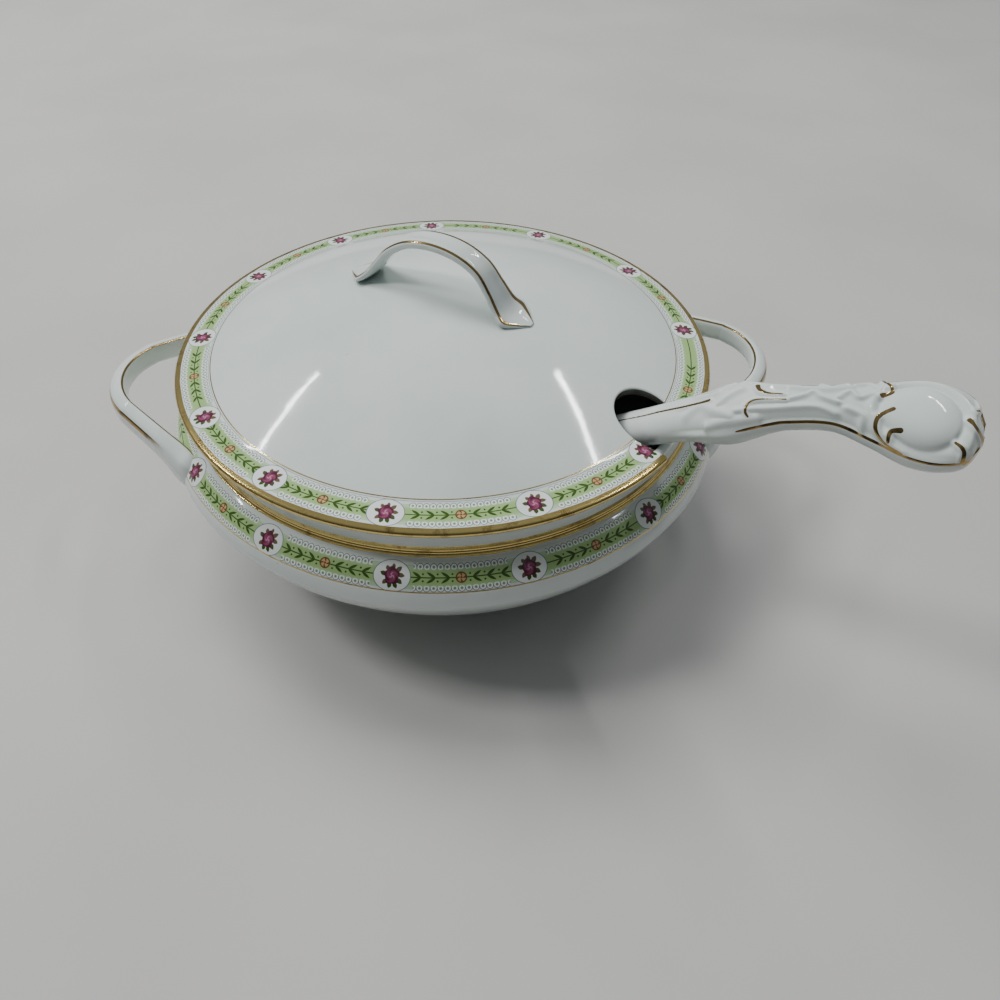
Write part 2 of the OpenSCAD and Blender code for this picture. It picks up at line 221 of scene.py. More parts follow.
def lay_border(piece, medallions, middle_radius, across):
    """Maps the printed border onto a piece.

    Each face belongs to the panel between two medallions that holds its middle. Map "border"
    holds the distance round from the panel's middle and the distance across the print; map
    "panel" holds half the panel's length. All are in tenths of a metre. Across is a function of
    radius and height.
    """
    mesh = piece.data
    place = stored(mesh.vertices, "co", np.float32, 3).reshape(-1, 3) / MM
    corner = place[stored(mesh.loops, "vertex_index", np.int32)]
    start = stored(mesh.polygons, "loop_start", np.int32)
    total = stored(mesh.polygons, "loop_total", np.int32)
    middle = np.add.reduceat(corner, start, axis=0) / total[:, None]
    first = np.array(medallions, float)
    ends = np.append(first, first[0] + 360)
    face_turn = (np.degrees(np.arctan2(middle[:, 1], middle[:, 0])) - first[0]) % 360 + first[0]
    panel = np.clip(np.searchsorted(ends, face_turn, side="right") - 1, 0, len(first) - 1)
    panel_middle = np.repeat((ends[panel] + ends[panel + 1]) / 2, total)
    panel_half = np.repeat((ends[panel + 1] - ends[panel]) / 2, total)
    corner_turn = np.degrees(np.arctan2(corner[:, 1], corner[:, 0]))
    round_by = np.radians((corner_turn - panel_middle + 180) % 360 - 180) * middle_radius
    across_by = across(np.hypot(corner[:, 0], corner[:, 1]), corner[:, 2])
    add_map(mesh, "border", round_by / 100, across_by / 100)
    half = np.radians(panel_half) * middle_radius / 100
    add_map(mesh, "panel", half, half)


def polyline(points, step):
    """Points on the straight stretches between corners, a step apart or closer."""
    points = np.array(points, float)
    pieces = []
    for a, b in zip(points[:-1], points[1:]):
        count = max(int(np.ceil(np.hypot(*(b - a)) / step)), 1)
        pieces.append(a + (b - a) * (np.arange(count) / count)[:, None])
    return np.concatenate(pieces + [points[-1:]])


def arc(centre, radius, start, end, count):
    """Points on a circle about a centre, from one angle in degrees to another."""
    a = np.radians(np.linspace(start, end, count))
    return np.stack([centre[0] + radius * np.cos(a), centre[1] + radius * np.sin(a)], -1)


def turned_grid(profile, columns):
    """A profile of radius and height carried round the upright axis."""
    angle = np.linspace(0, 2 * np.pi, columns + 1)
    radius, height = profile[:, 0][:, None], profile[:, 1][:, None]
    return np.stack([radius * np.cos(angle), radius * np.sin(angle), height + 0 * angle], -1)


def lathe(name, profile, material, columns=256, loop=False):
    """A turned piece."""
    return skin(name, turned_grid(profile, columns), material, loop=loop)


def blend(stations, steps):
    """Catmull-Rom curve through stations: between two of them each value is the cubic that
    leaves and arrives with half the difference of its neighbours."""
    stations = np.array(stations, float)
    padded = np.concatenate([stations[:1], stations, stations[-1:]])
    a, b, c, d = (padded[k:len(padded) - 3 + k, None, :] for k in range(4))
    t = (np.arange(steps) / steps)[None, :, None]
    curve = 0.5 * (2 * b + (c - a) * t + (2 * a - 5 * b + 4 * c - d) * t ** 2
                   + (3 * b - 3 * c + d - a) * t ** 3)
    return np.concatenate([curve.reshape(-1, stations.shape[1]), stations[-1:]])


def directions(path):
    """Unit directions along a path, from the points before and after each point."""
    ahead = np.concatenate([path[1:], path[-1:]])
    behind = np.concatenate([path[:1], path[:-1]])
    step = ahead - behind
    return step / np.linalg.norm(step, axis=1)[:, None]


def rounded_section(count, power):
    """Across and up parts of a superellipse of half sizes one, round from the +across side."""
    a = np.linspace(0, 2 * np.pi, count + 1)
    c, s = np.cos(a), np.sin(a)
    across = np.sign(c) * np.abs(c) ** (2 / power)
    up = np.sign(s) * np.abs(s) ** (2 / power)
    return across, up


def upright_sweep(course, across, lift):
    """Sections square to a course in the upright plane of X. A course gives distance, height and
    half width; across is a share of the half width, and lift is measured off the course."""
    along = directions(course[:, :2])
    over = np.stack([-along[:, 1], along[:, 0]], -1)
    return np.stack([course[:, 0][:, None] + over[:, 0][:, None] * lift,
                     course[:, 2][:, None] * across,
                     course[:, 1][:, None] + over[:, 1][:, None] * lift], -1)


def closed_ends(grid):
    """Adds a row of the middle of the first ring before it and one of the last ring after it."""
    first = np.broadcast_to(grid[0, :-1].mean(axis=0), grid[:1].shape)
    last = np.broadcast_to(grid[-1, :-1].mean(axis=0), grid[:1].shape)
    return np.concatenate([first, grid, last])


def strap_layers(path, columns, rows):
    """Map "strap": distance along in tenths of a metre, and the share of the way round."""
    steps = np.linalg.norm(np.diff(path, axis=0), axis=1)
    along = np.concatenate([[0], np.cumsum(steps)])
    along = np.concatenate([along[:1], along, along[-1:]])
    around = np.linspace(0, 1, columns)
    u = np.broadcast_to(along[:, None] / 100, (rows, columns))
    v = np.broadcast_to(around, (rows, columns))
    return [("strap", u, v)]


# --- Materials -------------------------------------------------------------------------------

class Field:
    """A value that varies over a surface: arithmetic on it adds the matching math nodes."""

    def __init__(self, tree, source):
        self.tree = tree
        self.source = source

    def _math(self, operation, *values, clamp=False):
        node = self.tree.nodes.new("ShaderNodeMath")
        node.operation = operation
        node.use_clamp = clamp
        for socket, value in zip(node.inputs, values):
            if isinstance(value, Field):
                self.tree.links.new(value.source, socket)
            else:
                socket.default_value = value
        return Field(self.tree, node.outputs[0])

    def __add__(self, other):
        return self._math("ADD", self, other)

    def __sub__(self, other):
        return self._math("SUBTRACT", self, other)

    def __rsub__(self, other):
        return self._math("SUBTRACT", other, self)

    def __mul__(self, other):
        return self._math("MULTIPLY", self, other)

    def __truediv__(self, other):
        return self._math("DIVIDE", self, other)

    def abs(self):
        return self._math("ABSOLUTE", self)

    def sign(self):
        return self._math("SIGN", self)

    def sin(self):
        return self._math("SINE", self)

    def root(self):
        return self._math("SQRT", self)

    def clamp(self):
        return self._math("ADD", self, 0, clamp=True)

    def least(self, other):
        return self._math("MINIMUM", self, other)

    def most(self, other):
        return self._math("MAXIMUM", self, other)

    def angle(self, other):
        return self._math("ARCTAN2", self, other)

    def centred(self, pitch):
        """Distance from the middle of the nearest cell of a row of cells a pitch long."""
        return self._math("WRAP", self, pitch / 2, -pitch / 2)

    def ramp(self, low, high):
        """Rises smoothly from 0 at low to 1 at high; falls where low is above high."""
        node = self.tree.nodes.new("ShaderNodeMapRange")
        node.interpolation_type = "SMOOTHSTEP"
        flip = low > high
        node.inputs["From Min"].default_value = min(low, high)
        node.inputs["From Max"].default_value = max(low, high)
        node.inputs["To Min"].default_value = 1 if flip else 0
        node.inputs["To Max"].default_value = 0 if flip else 1
        self.tree.links.new(self.source, node.inputs["Value"])
        return Field(self.tree, node.outputs["Result"])

    def band(self, centre, half, soft=0.08):
        """1 within a half width of a centre, with a soft edge."""
        return (self - centre).abs().ramp(half + soft, half - soft)


def distance(x, y):
    """Length of the vector with these two parts."""
    return (x * x + y * y).root()


def layer_uv(tree, name, scale=100):
    """The two parts of a UV map, in millimetres unless another scale is given."""
    node = tree.nodes.new("ShaderNodeUVMap")
    node.uv_map = name
    split = tree.nodes.new("ShaderNodeSeparateXYZ")
    tree.links.new(node.outputs["UV"], split.inputs["Vector"])
    return Field(tree, split.outputs["X"]) * scale, Field(tree, split.outputs["Y"]) * scale


def object_place(tree, kind="Object"):
    """The point's own place in the object's frame, in metres: the vector and its three parts.

    Kind "Generated" gives the direction looked at, in a world's tree.
    """
    coordinates = tree.nodes.new("ShaderNodeTexCoord")
    split = tree.nodes.new("ShaderNodeSeparateXYZ")
    tree.links.new(coordinates.outputs[kind], split.inputs["Vector"])
    return coordinates.outputs[kind], [Field(tree, split.outputs[k]) for k in "XYZ"]


def noise(tree, vector, scale, detail=2.0, roughness=0.5):
    """Smooth noise between 0 and 1 with features of about one over the scale."""
    node = tree.nodes.new("ShaderNodeTexNoise")
    node.inputs["Scale"].default_value = scale
    node.inputs["Detail"].default_value = detail
    node.inputs["Roughness"].default_value = roughness
    tree.links.new(vector, node.inputs["Vector"])
    return Field(tree, node.outputs["Fac"])


def srgb(red, green, blue):
    """A colour given in the 0 to 255 display scale, as linear light."""
    c = np.array([red, green, blue]) / 255
    linear = np.where(c <= 0.04045, c / 12.92, ((c + 0.055) / 1.055) ** 2.4)
    return (*linear.tolist(), 1.0)


def paint(tree, below, colour, mask):
    """Lays a colour over another where the mask is 1. Either may be a socket or four numbers."""
    node = tree.nodes.new("ShaderNodeMix")
    node.data_type = "RGBA"
    tree.links.new(mask.source, node.inputs["Factor"])
    for socket, value in ((node.inputs[6], below), (node.inputs[7], colour)):
        if isinstance(value, tuple):
            socket.default_value = value
        else:
            tree.links.new(value, socket)
    return node.outputs[2]


GLAZE_WHITE = srgb(222, 230, 226)
GLAZE_COOL = srgb(208, 219, 215)
BODY_GREY = srgb(176, 174, 166)
# Painted shade: the dark grey laid on the lid's notch wall, which lies in shade
NOTCH_SHADE_GREY = srgb(70, 68, 62)
GOLD = srgb(222, 196, 122)
GOLD_WORN = srgb(140, 112, 56)
LINE_GOLD = srgb(176, 148, 92)
LINE_WORN = srgb(92, 70, 42)
GROUND_GREEN = srgb(156, 188, 122)
GROUND_PALE = srgb(166, 196, 152)
LEAF_GREEN = srgb(56, 84, 24)
LEAF_DARK = srgb(70, 82, 44)
LEAF_BROWN = srgb(104, 86, 62)
ROSETTE_LINE = srgb(106, 76, 48)
ROSETTE_FILL = srgb(198, 162, 112)
ROSE_DEEP = srgb(88, 32, 54)
ROSE_MID = srgb(136, 66, 96)
ROSE_PINK = srgb(192, 128, 160)
LACE_WHITE = srgb(244, 247, 245)
LACE_GREY = srgb(104, 118, 126)


def start_glaze(name):
    """A new material with its shader: clear hard glaze over a white earthenware body."""
    material = bpy.data.materials.new(name)
    material.use_nodes = True
    tree = material.node_tree
    shader = tree.nodes["Principled BSDF"]
    shader.inputs["IOR"].default_value = 1.5
    shader.inputs["Coat Weight"].default_value = 0.35
    shader.inputs["Coat Roughness"].default_value = 0.03
    return material, tree, shader


def glaze_ground(tree, vector):
    """The white ground's colour: faint cool and warm clouds with a few iron specks."""
    clouds = noise(tree, vector, 14, 3)
    specks = noise(tree, vector, 420, 1).ramp(0.785, 0.8)
    sparse = noise(tree, vector, 60, 1).ramp(0.55, 0.62)
    colour = paint(tree, GLAZE_WHITE, GLAZE_COOL, clouds.ramp(0.35, 0.7))
    return paint(tree, colour, BODY_GREY, specks * sparse * 0.6)


def finish_glaze(tree, shader, vector, colour, gold=None, leaf=(GOLD, GOLD_WORN)):
    """Joins colour, gloss and relief to the shader.

    Gold, where its mask is 1, is metal with worn, browner patches; leaf holds its two colours.
    The relief is the slight waviness that a dipped glaze keeps.
    """
    ripple = noise(tree, vector, 55, 2)
    fine = noise(tree, vector, 900, 2)
    height = ripple + fine * 0.03
    roughness = noise(tree, vector, 30, 3).ramp(0.2, 0.9) * 0.05 + 0.055
    if gold is not None:
        wear = noise(tree, vector, 160, 4, 0.65).ramp(0.5, 0.74)
        colour = paint(tree, colour, paint(tree, *leaf, wear), gold)
        roughness = roughness + gold * (wear * 0.12 + 0.11)
        tree.links.new(gold.source, shader.inputs["Metallic"])
        height = height + gold * 0.05
    tree.links.new(colour, shader.inputs["Base Color"])
    tree.links.new(roughness.source, shader.inputs["Roughness"])
    bump = tree.nodes.new("ShaderNodeBump")
    bump.inputs["Strength"].default_value = 0.5
    bump.inputs["Distance"].default_value = 0.00025
    tree.links.new(height.source, bump.inputs["Height"])
    tree.links.new(bump.outputs["Normal"], shader.inputs["Normal"])


def plain_glaze(name):
    """White glaze with no decoration."""
    material, tree, shader = start_glaze(name)
    vector = object_place(tree)[0]
    finish_glaze(tree, shader, vector, glaze_ground(tree, vector))
    return material


def lined_glaze(name, lines):
    """White glaze with thin gilt lines; lines makes their mask in a material's node tree."""
    material, tree, shader = start_glaze(name)
    vector = object_place(tree)[0]
    finish_glaze(tree, shader, vector, glaze_ground(tree, vector), lines(tree), (LINE_GOLD, LINE_WORN))
    return material


def leaf_mask(x, y, centre, angle, length, width):
    """A pointed leaf: an ellipse whose width falls off towards both tips."""
    c, s = float(np.cos(np.radians(angle))), float(np.sin(np.radians(angle)))
    along = ((x - centre[0]) * c + (y - centre[1]) * s) / length
    side = ((y - centre[1]) * c - (x - centre[0]) * s) / width
    return (along * along + side.abs()).ramp(1.12, 0.88)


# Leaves round each rose: place of the middle in millimetres, direction, half length, half width
ROSE_LEAVES = [
    ((-3.3, -0.7), 20, 1.4, 0.9, LEAF_DARK),
    ((-1.9, -2.9), 60, 1.1, 0.8, LEAF_BROWN),
    ((0.4, -3.7), 80, 1.2, 0.7, LEAF_BROWN),
    ((2.4, -2.6), -46, 1.7, 0.95, LEAF_BROWN),
    ((3.4, -0.5), 8, 1.6, 0.9, LEAF_BROWN),
    ((2.8, 1.8), 40, 1.6, 0.95, LEAF_DARK),
    ((-0.7, 3.7), 104, 1.3, 0.85, LEAF_GREEN),
    ((1.4, 3.5), 66, 1.4, 0.85, LEAF_GREEN),
    ((-2.5, 2.4), 130, 1.4, 0.85, LEAF_BROWN),
]


def rose(tree, colour, x, y):
    """A full-blown rose with leaves, about 7 mm across: y points to the border's outer edge."""
    for centre, angle, length, width, tint in ROSE_LEAVES:
        colour = paint(tree, colour, tint, leaf_mask(x, y, centre, angle, length, width))
    far = distance(x, y * 0.84)
    petals = (y.angle(x) * 5 + far * 1.2).sin()
    bloom = (far - petals * 0.26).ramp(3.05, 2.75)
    inner = (y.angle(x) * 3 - far * 3.2).sin()
    shade = far * 0.42 + inner * 0.22
    flower = paint(tree, ROSE_PINK, ROSE_MID, shade.ramp(0.1, 0.42))
    flower = paint(tree, flower, ROSE_DEEP, shade.ramp(0.6, 1.0))
    return paint(tree, colour, flower, bloom)


def printed_border(tree, colour):
    """The transfer print over a ground colour.

    Along is measured round from the panel's middle and across from the print's inner edge. A
    pale green ground with a fine lattice runs between two rows of white lace loops. A garland
    of leaf pairs points to a rosette in the panel's middle, and a white oval with a rose stands
    at each end.
    """
    along, across = layer_uv(tree, "border")
    half = layer_uv(tree, "panel")[0]
    middle = PRINT_WIDTH / 2
    y = across - middle
    from_end = along - along.sign() * half

    # Oval at the panel's ends
    oval_size = distance(from_end / 7.2, y / 6.3)
    outside_oval = oval_size.ramp(0.98, 1.01)
    strip = across.band(middle, middle - 0.75)

    # Ground with its lattice
    lattice = ((along + across).centred(0.75).abs().ramp(0.2, 0.1)).most(
        (along - across).centred(0.75).abs().ramp(0.2, 0.1))
    ground = paint(tree, GROUND_PALE, GROUND_GREEN, y.abs().ramp(4.8, 2.2))
    ground = paint(tree, ground, LACE_WHITE, lattice * y.abs().ramp(1.8, 4.2) * 0.3)
    colour = paint(tree, colour, ground, strip * outside_oval)

    # Two rows of lace loops, with a grey outline on their outer sides
    in_row = (along.abs() - (half - 8.2)).ramp(0.3, -0.3)
    cell = along.centred(2.65)
    edge = y.abs() - (middle - 1.45)
    loop = distance(cell, edge * 0.9)
    open_side = edge.ramp(-1.3, -0.7)
    colour = paint(tree, colour, LACE_GREY, loop.band(1.2, 0.17) * edge.ramp(-0.7, 0.1) * in_row)
    colour = paint(tree, colour, LACE_WHITE, loop.band(0.88, 0.22) * open_side * in_row)
    colour = paint(tree, colour, LACE_GREY, loop.ramp(0.5, 0.28) * in_row * 0.85)

    # Garland: a stem, three pairs of leaves and three pairs of dots on each side
    run = along.abs()
    stem = y.abs().ramp(0.34, 0.16) * outside_oval
    order = (run - 6.0).centred(5.5)
    leaves = leaf_mask(order, y.abs(), (0, 1.05), 32, 2.1, 0.55)
    leaves = leaves * run.ramp(3.6, 4.0) * run.ramp(19.6, 19.2)
    dots = distance((run - 3.4).centred(5.65), y.abs() - 1.35).ramp(0.5, 0.32)
    dots = dots * run.ramp(2.6, 2.9) * run.ramp(16.2, 15.8)
    garland = stem.most(leaves).most(dots)
    colour = paint(tree, colour, LEAF_GREEN, garland)

    # Rosette with four turned petals
    far = distance(along, y)
    petals = (y.angle(along) * 4 + far * 1.3).sin()
    colour = paint(tree, colour, ROSETTE_FILL, far.ramp(2.3, 2.1))
    spokes = petals.ramp(0.2, 0.7) * far.ramp(0.5, 0.7)
    drawn = spokes.most(far.band(1.95, 0.28)).most(far.ramp(0.55, 0.35))
    colour = paint(tree, colour, ROSETTE_LINE, drawn * far.ramp(2.35, 2.15))

    # Oval: white, a fine grey outline and the rose
    colour = paint(tree, colour, LACE_WHITE, oval_size.ramp(1.0, 0.98) * 0.5)
    colour = paint(tree, colour, LACE_GREY, oval_size.band(1.0, 0.022, 0.014))
    return rose(tree, colour, from_end, y)


def lid_glaze():
    """White glaze, the printed border, a gold line inside it and the gold rolled edge; the
    notch's wall is painted dark grey as painted shade."""
    material, tree, shader = start_glaze("lid glaze and gilding")
    vector, (x, y, z) = object_place(tree)
    radius = distance(x, y) / MM
    above = (z / MM).ramp(rim_height - 0.6, rim_height - 0.2)
    colour = glaze_ground(tree, vector)
    on_top = (z / MM).ramp(rim_height + 1, rim_height + 1.3)
    colour = paint(tree, colour, printed_border(tree, colour), on_top)
    down, on_rim = layer_uv(tree, "cut", 1)
    # Painted shade: the notch's wall, below its top edge, is painted dark grey where it lies in shade
    painted_notch_shade = down.ramp(0.08, 0.2) * down.ramp(0.99, 0.95) * on_rim.ramp(0.6, 0.3)
    colour = paint(tree, colour, NOTCH_SHADE_GREY, painted_notch_shade)
    hairline = radius.band(border_radius - 0.3, 0.1, 0.06)
    colour = paint(tree, colour, LACE_GREY, hairline * above * 0.8)
    line = radius.band(border_radius - 1.1, 0.22)
    wander = noise(tree, vector, 90, 1)
    edge = (radius + wander * 0.5).ramp(lid_radius - 2.75, lid_radius - 2.5)
    finish_glaze(tree, shader, vector, colour, (line + edge).clamp() * above)
    return material


def bowl_glaze():
    """White glaze, the printed border on the shoulder, gilded above and below."""
    material, tree, shader = start_glaze("bowl glaze and gilding")
    vector, (x, y, z) = object_place(tree)
    radius = distance(x, y) / MM
    height = z / MM
    outside = radius.ramp(collar_radius - 1.5, collar_radius - 1)
    shoulder = height.band(collar_foot - 6, 6.6, 0.1)
    shoulder = shoulder * radius.ramp(collar_radius, collar_radius + 0.5)
    colour = glaze_ground(tree, vector)
    colour = paint(tree, colour, printed_border(tree, colour), shoulder)
    wander = noise(tree, vector, 90, 1) * 0.4
    foot_band = (height - wander).band(collar_foot + 2.3, 2.4)
    line = height.band(gold_line_height, 0.26, 0.06)
    finish_glaze(tree, shader, vector, colour, (foot_band + line).clamp() * outside)
    return material


# --- Bowl ------------------------------------------------------------------------------------

def shoulder_curve(inset, count):
    """Quarter superellipse from the belly's widest point up to the collar's foot."""
    centre = belly_radius - (belly_radius - collar_radius + shoulder_lead)
    reach = belly_radius - centre - inset
    top = np.arccos(((collar_radius - inset - centre) / reach) ** (belly_power / 2))
    rise = (collar_foot - belly_height - inset * 0.6) / np.sin(top) ** (2 / belly_power)
    a = np.linspace(0, top, count)
    return np.stack([centre + reach * np.cos(a) ** (2 / belly_power),
                     belly_height + rise * np.sin(a) ** (2 / belly_power)], -1)


def underside_curve(inset, low, foot, count):
    """Quarter of a flatter superellipse from the floor's corner out to the widest point."""
    a = np.linspace(np.pi / 2, 0, count)
    c, s = np.abs(np.cos(a)), np.sin(a)
    return np.stack([foot + (belly_radius - inset - foot) * c ** (2 / underside_power),
                     belly_height - (belly_height - low) * s ** (2 / underside_power)], -1)


def bowl_profile():
    """The whole section, from the middle of the underside round to the middle of the floor."""
    lip = wall / 2
    fillet = 1.4
    outer = np.concatenate([underside_curve(0, foot_height, foot_radius + 2, 60)[:-1],
                            shoulder_curve(0, 60)])
    corner = arc((collar_radius + fillet, collar_foot + fillet + 0.15), fillet, 265, 180, 8)
    kept = (outer[:, 1] <= belly_height) | (outer[:, 0] > collar_radius + fillet + 0.2)
    outer = np.concatenate([outer[kept], corner])
    top = np.concatenate([polyline([corner[-1], [collar_radius, collar_top - lip]], 1.5),
                          arc((collar_radius - lip, collar_top - lip), lip, 0, 180, 16)[1:]])
    floor_top = foot_height + floor_thickness
    inner = np.concatenate([underside_curve(wall, floor_top, foot_radius - wall, 60)[:-1],
                            shoulder_curve(wall, 60)])[::-1]
    floor = [inner[-1], [0, floor_top]]
    return np.concatenate([polyline([[0, foot_height], outer[0]], 4)[:-1], outer, top,
                           inner, polyline(floor, 4)[1:]])


def shoulder_arc_length():
    """Lengths along the shoulder from the collar's foot, and the heights they belong to."""
    curve = shoulder_curve(0, 400)[::-1]
    curve = curve[curve[:, 0] > collar_radius + 1]
    run = np.concatenate([[0], np.cumsum(np.linalg.norm(np.diff(curve, axis=0), axis=1))])
    return run, curve[:, 1]


shoulder_run, shoulder_height = shoulder_arc_length()
PRINT_START = 2.3
gold_line_height = float(np.interp(PRINT_START + PRINT_WIDTH + 0.5, shoulder_run, shoulder_height))


def across_shoulder(radius, height):
    """Distance across the print on the shoulder, from its inner edge, measured on the curve."""
    return np.interp(-height, -shoulder_height, shoulder_run) - PRINT_START


def make_bowl(material):
    """The bowl in one skin, inside and out, with its print mapped on the shoulder."""
    piece = lathe("bowl_glazed", bowl_profile(), material, columns=320)
    lay_border(piece, BOWL_MEDALLIONS, belly_radius - 6, across_shoulder)
    return piece


def make_foot_ring(material):
    """The turned foot: a rounded ring whose section leans out a little at the top."""
    inner = foot_radius - foot_width
    round_over = 1.6
    profile = np.concatenate([
        arc((inner + round_over, round_over), round_over, 180, 270, 8),
        arc((foot_radius - round_over, round_over), round_over, 270, 360, 8),
        polyline([[foot_radius + 0.1, 2.2], [foot_radius + 1.4, foot_height]], 1.2),
        polyline([[foot_radius + 1.4, foot_height], [inner - 0.9, foot_height]], 2)[1:],
        polyline([[inner - 0.9, foot_height], [inner, 1.7]], 1.2)[1:]])
    return lathe("foot_ring_glazed", profile, material, loop=True)


# --- Side handles ----------------------------------------------------------------------------

def shoulder_radius(height):
    """Radius of the bowl's outside at a height on the shoulder."""
    curve = shoulder_curve(0, 400)
    return float(np.interp(height, curve[:, 1], curve[:, 0]))


def polar(radius, degrees):
    """The point at a radius and an angle."""
    a = np.radians(degrees)
    return np.array([radius * np.cos(a), radius * np.sin(a)])


# Length of a side handle's gilding, from root to root
HANDLE_RUN = 155


def handle_stations():
    """Stations from one root round to the other: x, y, height, half thickness, half height."""
    low = belly_height + handle_root_lift
    high = low + handle_rise
    root_radius = shoulder_radius(low)
    thick = strap_thickness / 2
    tall = strap_height / 2
    middle = np.array([handle_reach - thick - handle_bend, 0])
    root = polar(root_radius - 1.2, handle_root_angle)
    to_root = root - middle
    span = np.hypot(*to_root)
    limb = np.degrees(np.arctan2(to_root[1], to_root[0]) - np.arccos(handle_bend / span))
    touch = middle + polar(handle_bend, limb)
    half = [[*polar(root_radius - 6.7, handle_root_angle + 5.5), low - 1, thick * 0.5, tall * 0.4],
            [*polar(root_radius - 3.7, handle_root_angle + 3), low - 0.5, thick * 1.1, tall * 1.3],
            [*root, low, thick * 1.3, tall * 1.45],
            [*(root * 0.65 + touch * 0.35), low * 0.65 + high * 0.35 + 1, thick * 1.1, tall * 1.1]]
    for step in range(7):
        share = 1 - step / 6
        half.append([*(middle + polar(handle_bend, limb * share)),
                     high - handle_rise * 0.12 * share ** 2, thick, tall])
    half = np.array(half)
    back = half[-2::-1] * [1, -1, 1, 1, 1]
    return np.concatenate([half, back])


def make_handle(name, side, material):
    """A strap along the stations, its top sloping down outwards; side is 1 right or -1 left."""
    course = blend(handle_stations(), 8)
    across, up = rounded_section(48, 2.8)
    along = directions(course[:, :2])
    outward = np.stack([-along[:, 1], along[:, 0]], -1)
    reach = course[:, 3][:, None] * across
    lift = course[:, 4][:, None] * up - 0.35 * reach
    grid = np.stack([course[:, 0][:, None] + outward[:, 0][:, None] * reach,
                     course[:, 1][:, None] + outward[:, 1][:, None] * reach,
                     course[:, 2][:, None] + lift], -1)
    grid[..., 0] *= side
    grid = closed_ends(grid)
    layers = strap_layers(course[:, :3], grid.shape[1], grid.shape[0])
    return skin(name, grid, material, layers)


def handle_lines(tree):
    """A gold line on the inner and one on the outer edge of the strap's top."""
    along = layer_uv(tree, "strap")[0]
    around = layer_uv(tree, "strap", 1)[1]
    from_root = along.least(HANDLE_RUN - along)
    inner = around.band(0.365, 0.026, 0.006) * from_root.ramp(2, 5)
    outer = around.band(0.115, 0.036, 0.006) * from_root.ramp(16, 34)
    return inner.most(outer)


# --- Lid -------------------------------------------------------------------------------------

def lid_surface(radius):
    """Heights of the lid's upper and lower faces at a distance from the middle.

    The dome is a parabola that ends at the border; the border falls on to the rolled edge.
    """
    fall = (dome_height - border_lift) * (radius / border_radius) ** 2
    dome = rim_height + dome_height - fall
    edge_top = rim_height + lid_edge
    share = np.clip((radius - border_radius) / (lid_radius - lid_edge / 2 - border_radius), 0, 1)
    border = rim_height + border_lift + (edge_top - rim_height - border_lift) * share
    upper = np.where(radius < border_radius, dome, border)
    hollow = np.maximum(dome - lid_wall, seat_height)
    lower = np.where(radius < flange_outer, hollow,
                     seat_height + (rim_height - seat_height)
                     * np.clip((radius - collar_radius - 0.6), 0, 1))
    return upper, lower


def lid_outline():
    """The lid seen from above: a circle with the ladle's notch let into it.

    Returns points, outward normals, the angles on the dome to which the points belong, and a
    share that is 1 on the round edge and 0 in the notch. The notch points to +X here.
    """
    fillet = 1.6
    corner_x = np.sqrt((lid_radius - fillet) ** 2 - (notch_half + fillet) ** 2)
    corner = np.array([corner_x, notch_half + fillet])
    leave = np.degrees(np.arctan2(corner[1], corner[0]))
    tip = arc((notch_centre, 0), notch_half, 180, 90, 24)
    side = polyline([[notch_centre, notch_half], [corner_x, notch_half]], 1)[1:]
    bend = arc(corner, fillet, -90, leave, 8)[1:]
    rim = arc((0, 0), lid_radius, leave, 180, 190)[1:]
    points = np.concatenate([tip, side, bend, rim])
    tip_normal = -(tip - [notch_centre, 0]) / notch_half
    side_normal = np.tile([0.0, -1.0], (len(side), 1))
    normals = np.concatenate([tip_normal, side_normal, (bend - corner) / fillet, rim / lid_radius])
    run = np.concatenate([[0], np.cumsum(np.hypot(*np.diff(points, axis=0).T))])
    notch_count = len(tip) + len(side) + len(bend)
    marks = [0, run[len(tip) - 1], run[notch_count - 1], run[-1]]
    inner_angle = np.interp(run, marks, [0, 8, 17, 180])
    on_rim = np.concatenate([np.zeros(len(tip) + len(side)), np.linspace(0, 1, len(bend)),
                             np.ones(len(rim))])
    mirror = slice(-2, None, -1)
    return (np.concatenate([points, points[mirror] * [1, -1]]),
            np.concatenate([normals, normals[mirror] * [1, -1]]),
            np.radians(np.concatenate([inner_angle, 360 - inner_angle[mirror]])),
            np.concatenate([on_rim, on_rim[mirror]]))


def across_lid(radius, height):
    """Distance across the print on the lid, from its inner edge."""
    return radius - border_radius - 0.4


def make_lid(material):
    """The lid in one skin: rings that pass from round at the middle to the outline at the edge,
    over the edge, and back under the dome. Map "cut" holds the share of the way down through
    the lid, and 0 at the notch or 1 at the round edge."""
    points, normals, angle, on_rim = lid_outline()
    core_radius = 76
    core_ring = core_radius * np.stack([np.cos(angle), np.sin(angle)], -1)
    depth = 1.0 + 0.4 * on_rim
    inset = points - normals * depth[:, None]
    power = 4 - 2 * on_rim
    rings = [core_ring * share for share in np.linspace(0, 1, 26)]
    rings += [core_ring + (inset - core_ring) * share for share in np.linspace(0, 1, 40)[1:]]
    rows = [(ring, 1.0) for ring in rings]
    for a in np.radians(np.linspace(90, -90, 15))[1:-1]:
        out = np.abs(np.cos(a)) ** (2 / power)
        rise = np.sign(np.sin(a)) * np.abs(np.sin(a)) ** (2 / power)
        rows.append((inset + normals * (depth * out)[:, None], rise))
    rows += [(ring, -1.0) for ring in rings[::-1]]
    grid = []
    for ring, rise in rows:
        radius = np.hypot(ring[:, 0], ring[:, 1])
        upper, lower = lid_surface(radius)
        z = (upper + lower) / 2 + (upper - lower) / 2 * rise
        grid.append(np.concatenate([ring, z[:, None]], axis=1))
    grid = turn(np.array(grid), notch_angle)
    depth_down = np.stack([(1 - rise) / 2 + 0 * on_rim for ring, rise in rows])
    piece = skin("lid_glazed", grid, material, [("cut", depth_down, on_rim + 0 * depth_down)])
    lay_border(piece, LID_MEDALLIONS, border_radius + 6, across_lid)
    return piece


